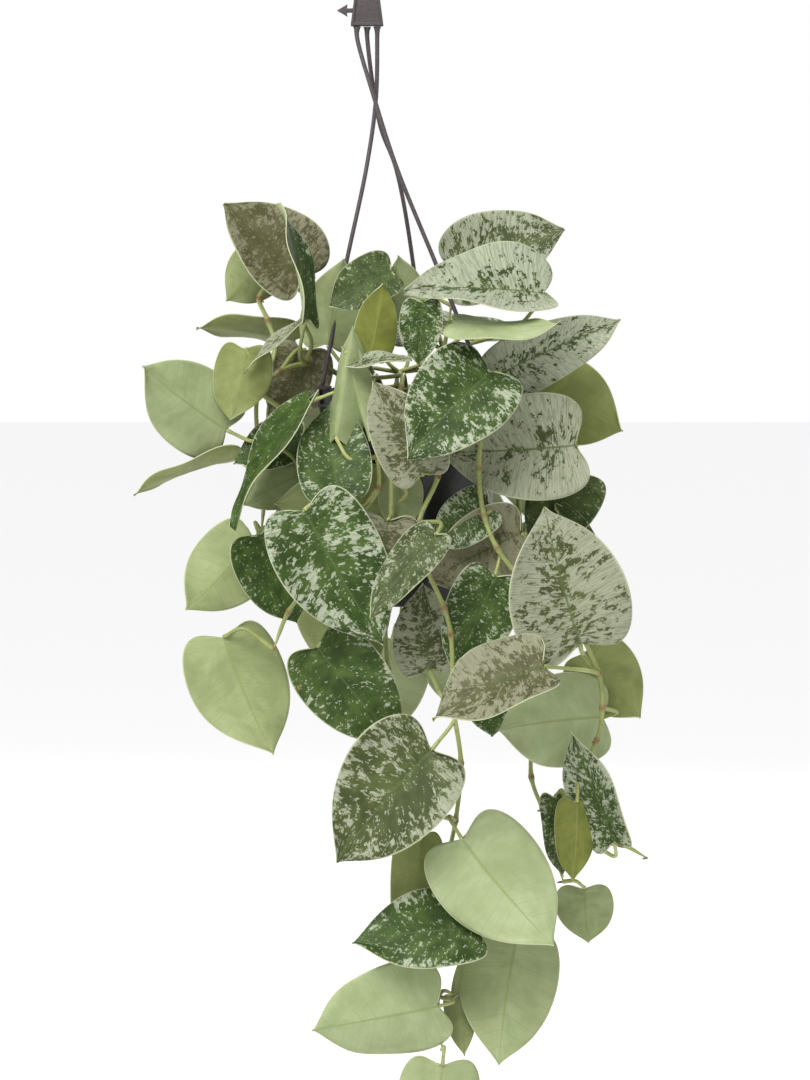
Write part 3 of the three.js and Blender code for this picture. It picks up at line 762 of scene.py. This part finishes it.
def vine(name, stems, leaves):
    """stems are routes in the plant's millimetres. A leaf's row is its name, stem, node,
    petiole end, pointing, facing, length, width, fold, silver and tone."""
    bm = bmesh.new()
    scar = bm.verts.layers.float.new("scar")
    for route in stems:
        x, y, z = route[0]
        points = [route[0], (x, y, z + 7), *route[1:]]
        line = centre_line([in_plant(p) for p in points], 14)
        joints = [in_plant(p) for p in route[2:]]
        swollen = joints[:-1] or joints
        radii = []
        for i, point in enumerate(line):
            near = min((point - j).length for j in swollen)
            swell = NODE_SWELL * math.exp(-(near / NODE_REACH) ** 2)
            shoot = min(1.0, 0.3 + 0.1 * (len(line) - 1 - i))
            radii.append(STEM * ((1 - STEM_TAPER * i / len(line)) * shoot + swell))
        first = len(bm.verts)
        rod(bm, line, radii, 14)
        bm.verts.ensure_lookup_table()
        for vert in bm.verts[first:]:
            near = min((vert.co - j).length for j in swollen)
            vert[scar] = max(0.0, 1 - abs(near - SCAR_PLACE) / SCAR_REACH)
        for joint in joints[::2]:
            out = Vector((random.uniform(-1, 1), random.uniform(-1, 0.4),
                          random.uniform(-0.4, 0.2))).normalized()
            stub = [joint + out * reach * MM for reach, _ in STUB]
            before = len(bm.verts)
            rod(bm, stub, [radius * MM for _, radius in STUB], 8)
            bm.verts.ensure_lookup_table()
            for vert in bm.verts[before:]:
                vert[scar] = 1.0
    hand = 1
    for leaf, stem, node, base, tip, face, length, *finish in leaves:
        line = centre_line(petiole_line(stems[stem][node], base, tip, face, length), 12)
        radii = [MM * (PETIOLE - PETIOLE_TAPER * i / len(line)) for i in range(len(line))]
        for i in range(3):
            radii[-1 - i] *= 1.18
        rod(bm, line, radii, 10)
        blade(leaf, hand, base, tip, face, length, *finish)
        hand = -hand
    piece(f"{name}_stem", bm, stem_skin, "stem", f"vine_{name}")


SOIL = (soil_high.z - rim_centre.z) / MM + 1  # where stems start, in the plant's millimetres

vine("front", [[
    (15, -30, SOIL), (20, -64, 12), (22, -86, 2), (20, -94, -35), (20, -98, -65),
    (6, -106, -100), (10, -112, -130), (25, -118, -165), (30, -118, -185),
    (32, -116, -240), (38, -116, -285), (34, -112, -330), (24, -100, -380),
    (18, -98, -430), (20, -98, -470), (24, -98, -512),
]], [
    ("front_1", 0, 5, (18, -138, -108), (-5, -2, -5), (-3, -8, 3), 80, 0.46, 0.12, 0.45, 0.3),
    ("front_2", 0, 9, (14, -98, -214), (-1, 0, 7), (0, -8, 1), 66, 0.8, 0.12, 0.75, 0.5),
    ("front_3", 0, 9, (15, -130, -273), (-8, -1, -8), (-1, -8, 2), 112, 0.8, 0.12, 0.55, 0.35),
    ("front_4", 0, 11, (39, -130, -342), (6, -1, -8), (0, 8, -1), 106, 0.82, 0.12, 0.3, 0.0),
    ("front_5", 0, 12, (50, -124, -412), (-10, -1, 0), (-1, -7, 4), 96, 0.68, 0.12, 0.36, 0.0),
    ("front_6", 0, 13, (82, -94, -425), (-2, -1, -9), (0, 8, 1), 98, 0.8, 0.12, 0.3, 0.2),
    ("front_7", 0, 14, (20, -116, -474), (-9, 0, -2), (0, 8, 2), 98, 0.8, 0.12, 0.3, 0.1),
    ("front_8", 0, 15, (24, -104, -524), (-1, 0, -8), (0, 8, 0), 80, 0.8, 0.12, 0.3, 0.15),
    ("front_9", 0, 11, (6, -80, -352), (0, 0, -8), (0, 8, 0), 104, 0.42, 0.12, 0.2, 0.7),
    ("front_10", 0, 13, (58, -86, -430), (-5, -1, -7), (1, 8, 1), 52, 0.38, 0.12, 0.2, 0.4),
    ("front_11", 0, 14, (34, -92, -472), (2, 0, -8), (1, 8, 0), 46, 0.5, 0.2, 0.2, 0.5),
    ("front_12", 0, 12, (50, -84, -392), (-2, 0, -8), (0, 8, 0), 56, 0.7, 0.12, 0.2, 0.95),
])

# ---------------------------------------------------------------------------------------
# The left vine swings out below the rim and carries the broad splashed leaf in front.

vine("left", [[
    (-20, -30, SOIL), (-28, -62, 12), (-30, -84, 2), (-26, -95, -50), (-26, -100, -74),
    (-42, -104, -98), (-68, -104, -135), (-95, -92, -170), (-107, -84, -200),
]], [
    ("left_1", 0, 2, (-79, -80, -8), (-7, -2, -9), (-7, -3, 6), 115, 0.55, 0.12, 0.2, 0.0),
    ("left_2", 0, 4, (-56, -120, -78), (-1, 3, 6), (0, -7, 3), 82, 0.7, 0.12, 0.36, 0.0),
    ("left_3", 0, 5, (-81, -128, -90), (5, -1, -10), (0, -8, 1), 118, 0.7, 0.12, 0.55, 0.0),
    ("left_4", 0, 8, (-146, -80, -192), (3, -1, -9), (-2, 8, 0), 98, 0.8, 0.12, 0.3, 0.35),
    ("left_5", 0, 3, (-58, -104, -33), (1, 1, 8), (3, 8, 0), 84, 0.34, 1.3, 0.2, 0.15),
    ("left_6", 0, 2, (-50, -98, 30), (2, 0, -8), (4, 7, 0), 70, 0.28, 1.1, 0.2, 0.2),
])

# ---------------------------------------------------------------------------------------
# The middle vine is short and hangs close against the pot.

vine("middle", [[
    (-4, -30, SOIL), (-6, -62, 12), (-8, -84, 2), (-15, -96, -60), (-16, -98, -110),
    (-20, -97, -165), (-18, -96, -215), (-10, -96, -245), (0, -98, -262),
]], [
    ("middle_1", 0, 2, (8, -118, -62), (-3, 0, 7), (0, -8, 2), 80, 0.66, 0.12, 0.8, 0.7),
    ("middle_2", 0, 4, (-18, -110, -99), (-1, -1, -8), (0, -8, 1), 72, 0.8, 0.12, 0.85, 0.9),
    ("middle_3", 0, 6, (-72, -112, -196), (6, -1, -8), (0, -8, 1), 98, 0.7, 0.12, 0.28, 0.05),
    ("middle_4", 0, 3, (-16, -82, -88), (-9, 0, 1), (0, 8, 2), 90, 0.7, 0.04, 0.3, 0.5),
    ("middle_5", 0, 1, (-44, -100, 22), (7, -4, 1), (0, -4, 8), 48, 0.5, 0.12, 0.8, 0.2),
    ("middle_6", 0, 5, (-26, -80, -168), (-2, 0, -8), (3, 8, 0), 60, 0.4, 0.12, 0.2, 0.4),
    ("middle_7", 0, 3, (-10, -88, -66), (1, 0, -8), (0, 8, 0), 44, 0.8, 0.12, 0.2, 0.2),
])

# ---------------------------------------------------------------------------------------
# The right vine carries the most silvery leaves and ends in a furled new shoot.

vine("right", [[
    (40, -20, SOIL), (50, -52, 12), (57, -74, 2), (52, -90, -60), (56, -98, -95),
    (66, -104, -120), (95, -102, -155), (125, -98, -180), (145, -92, -218),
    (148, -92, -245), (144, -92, -270), (128, -90, -298), (120, -90, -322),
    (130, -90, -346), (142, -90, -352), (163, -92, -352), (183, -94, -362),
]], [
    ("right_1", 0, 6, (84, -88, -110), (-9, 0, -4), (0, -8, 0), 80, 0.8, 0.12, 1.0, 1.0),
    ("right_2", 0, 7, (129, -124, -192), (-3, -1, 9), (0, -8, 2), 108, 0.86, 0.12, 0.88, 0.5),
    ("right_3", 0, 8, (99, -162, -205), (-9, -1, -3), (-1, -5, 6), 92, 0.8, 0.12, 0.7, 0.85),
    ("right_4", 0, 9, (149, -78, -254), (-8, -3, 0), (0, 8, -1), 92, 0.8, 0.12, 0.3, 0.0),
    ("right_5", 0, 14, (156, -108, -347), (-3, -1, 8), (-5, -6, 1), 92, 0.5, 0.12, 0.65, 0.1),
    ("right_6", 0, 5, (64, -108, -142), (-3, 0, -8), (0, -8, 1), 80, 0.7, 0.12, 0.42, 0.0),
    ("right_7", 0, 2, (60, -100, 15), (-6, -4, -5), (-1, -8, 3), 98, 0.8, 0.12, 0.5, 0.0),
    ("right_8", 0, 1, (66, -72, 12), (10, 1, 5), (-1, -6, -2), 108, 0.46, 0.12, 0.95, 0.2),
    ("right_9", 0, 4, (60, -90, -88), (-7, -1, -4), (0, -8, 3), 54, 0.8, 0.12, 0.55, 0.05),
    ("right_10", 0, 6, (60, -94, -222), (1, 0, -8), (0, -8, 1), 46, 0.9, 0.12, 0.3, 0.0),
    ("right_11", 0, 11, (128, -106, -318), (0, 0, -8), (-1, 8, 0), 60, 0.55, 0.25, 0.2, 0.95),
    ("right_12", 0, 12, (112, -76, -318), (1, 0, -8), (-4, -8, 0), 64, 0.42, 0.12, 0.45, 0.1),
    ("right_13", 0, 8, (136, -62, -206), (6, -1, -6), (0, 8, 0), 66, 0.85, 0.12, 0.2, 0.7),
])

# ---------------------------------------------------------------------------------------
# The outer vine hangs behind on the right.

vine("outer", [[
    (58, 12, SOIL), (68, 2, 12), (87, -2, 0), (84, -2, -60), (88, -8, -120),
    (94, -24, -180), (98, -36, -250), (95, -42, -306), (104, -46, -332),
    (114, -50, -366), (120, -52, -388),
]], [
    ("outer_1", 0, 2, (94, -14, 2), (8, -1, -3), (0, 8, 1), 82, 0.85, 0.12, 0.3, 0.75),
    ("outer_2", 0, 3, (127, -75, -42), (-10, -1, -1), (0, -8, 2), 106, 0.8, 0.12, 1.0, 0.4),
    ("outer_3", 0, 3, (134, -40, -66), (-4, -1, -5), (1, -8, 1), 72, 0.8, 0.12, 0.2, 0.2),
    ("outer_4", 0, 10, (137, -52, -394), (0, -1, -8), (0, 8, 1), 42, 1.1, 0.35, 0.2, 0.25),
    ("outer_5", 0, 4, (118, -48, -92), (6, -1, -7), (3, -6, 4), 66, 0.24, 0.12, 0.3, 0.2),
])

# ---------------------------------------------------------------------------------------
# The looping stem forks above the rim: one fork hangs, and the other climbs and curls.

vine("loop", [
    [(-45, 8, SOIL), (-62, 2, 14), (-84, -10, 20), (-104, -24, 14), (-120, -32, -2),
     (-121, -38, -40), (-116, -42, -80), (-118, -42, -112)],
    [(-120, -32, -2), (-112, -18, 18), (-108, -8, 34), (-114, -2, 54), (-121, 0, 72),
     (-112, 0, 84), (-96, 0, 86)],
], [
    ("loop_1", 1, 6, (-88, 0, 88), (-5, -1, 6), (3, -7, 2), 84, 0.86, 0.12, 0.6, 1.0),
    ("loop_2", 1, 2, (-95, 30, 38), (-8, -1, 2), (0, 4, 8), 78, 0.6, 0.12, 0.2, 0.7),
    ("loop_3", 0, 5, (-146, -42, -31), (-6, -2, 4), (0, 8, -1), 85, 0.8, 0.12, 0.3, 0.15),
    ("loop_4", 0, 6, (-140, -28, -54), (-8, -1, -2), (0, 2, 8), 84, 0.6, 0.12, 0.2, 0.7),
    ("loop_5", 0, 7, (-124, -52, -117), (-5, -2, -6), (0, 8, 0), 78, 0.8, 0.12, 0.3, 0.35),
    ("loop_6", 0, 7, (-118, -78, -112), (3, 0, -6), (0, -8, 0), 75, 0.8, 0.12, 0.24, 0.0),
    ("loop_7", 0, 2, (-82, -60, 56), (-1, 1, 8), (8, -2, 0), 92, 0.6, 0.12, 0.3, 0.0),
    ("loop_8", 1, 5, (-112, 16, 104), (-5, 1, -4), (0, 8, 1), 50, 0.95, 0.12, 0.2, 0.45),
    ("loop_9", 0, 4, (-130, -46, 32), (-1, -1, -8), (1, 8, 1), 58, 0.8, 0.12, 0.2, 0.75),
    ("loop_10", 0, 3, (-84, -8, 30), (-2, 0, -8), (-1, -8, 0), 66, 0.8, 0.12, 0.6, 1.0),
    ("loop_11", 0, 4, (-86, -36, -38), (-8, -2, -2), (0, -7, 4), 58, 0.75, 0.12, 0.3, 0.0),
    ("loop_12", 0, 5, (-86, -56, -66), (-7, -1, -3), (0, 8, -2), 52, 0.7, 0.12, 0.2, 0.15),
    ("loop_13", 0, 2, (-86, -48, 54), (-7, -1, -5), (0, -3, 8), 60, 0.24, 0.12, 0.9, 0.5),
])

# ---------------------------------------------------------------------------------------
# The crown: two short upright stems whose leaves stand among the hanger's strands.

vine("crown_left", [[
    (-20, 0, SOIL), (-34, -2, 20), (-44, -6, 50),
]], [
    ("crown_1", 0, 2, (-16, -56, 92), (-7, -2, -3), (1, -6, 4), 56, 0.8, 0.12, 0.3, 0.15),
    ("crown_2", 0, 1, (-32, -92, 28), (2, 0, 8), (0, 8, -1), 56, 0.6, 0.12, 0.2, 1.0),
    ("crown_7", 0, 1, (-66, -22, 36), (1, 0, 8), (0, 8, 1), 68, 0.72, 0.12, 0.2, 0.3),
])

vine("crown_right", [[
    (20, 5, SOIL), (26, 6, 30), (32, 4, 66),
]], [
    ("crown_3", 0, 2, (34, 6, 92), (8, -2, 3), (0, -8, 4), 94, 0.8, 0.12, 0.72, 0.3),
    ("crown_4", 0, 1, (8, -97, 68), (0, -1, -8), (-1, -8, 1), 48, 0.7, 0.2, 0.45, 0.0),
    ("crown_5", 0, 1, (102, -76, 76), (-8, -1, 1), (0, -5, 7), 108, 0.8, 0.12, 0.95, 0.15),
    ("crown_6", 0, 1, (34, -98, 53), (8, -3, -1), (0, 4, -8), 84, 0.45, 0.12, 0.2, 0.0),
    ("crown_8", 0, 1, (2, -40, 58), (-2, -1, 6), (1, 8, 0), 50, 0.6, 0.2, 0.2, 0.15),
])

# ---------------------------------------------------------------------------------------
# The back vine hangs behind the pot.

vine("back", [[
    (0, 40, SOIL), (-10, 62, 12), (-12, 86, 0), (-14, 92, -60), (-4, 94, -130),
    (-10, 92, -200),
]], [
    ("back_1", 0, 1, (-35, 62, 40), (-4, 6, 2), (0, -3, 8), 95, 0.8, 0.12, 0.4, 0.2),
    ("back_2", 0, 1, (40, 62, 40), (4, 6, 1), (1, -2, 8), 95, 0.8, 0.12, 0.6, 0.1),
    ("back_3", 0, 3, (-42, 102, -50), (-3, 2, -8), (-1, 8, 2), 100, 0.8, 0.12, 0.4, 0.0),
    ("back_4", 0, 4, (32, 108, -90), (2, 1, -8), (1, 8, 2), 105, 0.8, 0.12, 0.7, 0.3),
    ("back_5", 0, 5, (-16, 100, -212), (-1, 1, -8), (0, 8, 2), 90, 0.8, 0.12, 0.3, 0.1),
    ("back_6", 0, 2, (-66, 82, -14), (-5, 3, -7), (-4, 6, 5), 92, 0.8, 0.12, 0.5, 0.1),
    ("back_7", 0, 2, (62, 86, -18), (4, 3, -8), (3, 7, 4), 98, 0.8, 0.12, 0.4, 0.0),
    ("back_8", 0, 4, (-52, 104, -146), (-3, 1, -8), (-1, 8, 1), 90, 0.8, 0.12, 0.8, 0.6),
    ("back_9", 0, 5, (26, 104, -196), (3, 0, -8), (1, 8, 1), 80, 0.8, 0.12, 0.35, 0.0),
    ("back_10", 0, 1, (0, 84, 34), (0, 6, 3), (0, -3, 8), 50, 0.8, 0.12, 0.6, 0.3),
    ("back_11", 0, 1, (-88, 34, 4), (-3, -1, -8), (-7, 2, 3), 92, 0.8, 0.12, 0.6, 0.1),
    ("back_12", 0, 1, (88, 40, 2), (3, -1, -8), (7, 2, 3), 96, 0.8, 0.12, 0.8, 0.3),
    ("back_13", 0, 3, (-84, 62, -96), (-2, 0, -8), (-7, 4, 1), 84, 0.8, 0.12, 0.3, 0.0),
    ("back_14", 0, 3, (84, 60, -118), (2, 0, -8), (7, 4, 1), 84, 0.8, 0.12, 0.4, 0.0),
])
